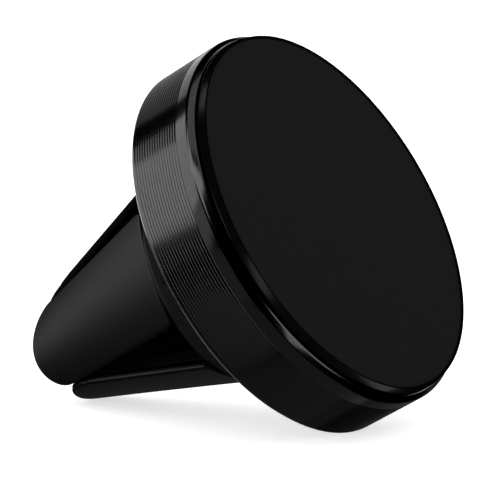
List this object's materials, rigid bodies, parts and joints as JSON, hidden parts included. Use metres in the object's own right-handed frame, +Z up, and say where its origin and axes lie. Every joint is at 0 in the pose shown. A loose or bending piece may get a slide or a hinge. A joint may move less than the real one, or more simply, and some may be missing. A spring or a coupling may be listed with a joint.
{
  "type": "magnetic car phone mount",
  "caption": "Magnetic car phone mount: a flat round magnetic face in a grooved metal ring, on a ball joint, with a rubber-covered split clip behind it that grips an air vent blade.",
  "frame": {"origin": "on the clip's axis, midway along its slots, where the vent blade holds it", "axes": "+Z up; the phone face looks towards -Y and up, and the clip points to +Y, low; X runs across the face"},
  "size_m": [0.0398, 0.0435, 0.038],
  "materials": {
    "face_pad": "smooth, matt",
    "anodised_ring": "black anodised, turned and satin",
    "cover_plastic": "satin",
    "clip_rubber": "matt",
    "moulded_plastic": "matt",
    "plated_steel": "zinc plated",
    "magnet_metal": "nickel plated",
    "adhesive": "tacky film"
  },
  "bodies": {
    "clip": {"clip_base": "cover_plastic", "ball_stud": "plated_steel", "clip_screw": "plated_steel"},
    "socket": {"socket_cup": "moulded_plastic", "friction_pad": "moulded_plastic", "disc_spring": "plated_steel"},
    "head": {"front_pad": "face_pad", "pad_adhesive": "adhesive", "magnet_tray": "moulded_plastic", "magnet_1": "magnet_metal", "magnet_2": "magnet_metal", "magnet_3": "magnet_metal", "magnet_4": "magnet_metal", "magnet_5": "magnet_metal", "magnet_6": "magnet_metal", "yoke_plate": "plated_steel", "trim_ring": "anodised_ring", "rear_cover": "cover_plastic", "tray_screws": "plated_steel"},
    "lower_jaw": {"lower_jaw_core": "moulded_plastic", "lower_jaw_boot": "clip_rubber", "lower_jaw_grip": "clip_rubber"},
    "right_jaw": {"right_jaw_core": "moulded_plastic", "right_jaw_boot": "clip_rubber", "right_jaw_grip": "clip_rubber"},
    "upper_jaw": {"upper_jaw_core": "moulded_plastic", "upper_jaw_boot": "clip_rubber", "upper_jaw_grip": "clip_rubber"},
    "left_jaw": {"left_jaw_core": "moulded_plastic", "left_jaw_boot": "clip_rubber", "left_jaw_grip": "clip_rubber"}
  },
  "joints": [
    {"name": "head_tilt", "type": "hinge", "parent": "clip", "child": "socket", "pos_m": [0, -0.0137, 0.00725], "axis": [1, 0, 0], "range_deg": [-3, 7]},
    {"name": "head_swivel", "type": "hinge", "parent": "socket", "child": "head", "pos_m": [0, -0.0137, 0.00725], "axis": [0, -0.8671, 0.4981], "continuous": true},
    {"name": "lower_jaw_flex", "type": "hinge", "parent": "clip", "child": "lower_jaw", "pos_m": [-0.00238, -0.01287, -0.00488], "axis": [-0.9744, 0.1052, 0.1989], "range_deg": [0, 5], "stiffness_Nm_per_rad": 1.9},
    {"name": "right_jaw_flex", "type": "hinge", "parent": "clip", "child": "right_jaw", "pos_m": [0.01033, -0.00916, 0.00215], "axis": [-0.225, -0.4555, -0.8613], "range_deg": [0, 5], "stiffness_Nm_per_rad": 1.9},
    {"name": "upper_jaw_flex", "type": "hinge", "parent": "clip", "child": "upper_jaw", "pos_m": [0.00238, -0.00322, 0.01338], "axis": [0.9744, -0.1052, -0.1989], "range_deg": [0, 5], "stiffness_Nm_per_rad": 1.9},
    {"name": "left_jaw_flex", "type": "hinge", "parent": "clip", "child": "left_jaw", "pos_m": [-0.01033, -0.00693, 0.00636], "axis": [0.225, 0.4555, 0.8613], "range_deg": [0, 5], "stiffness_Nm_per_rad": 1.9}
  ]
}
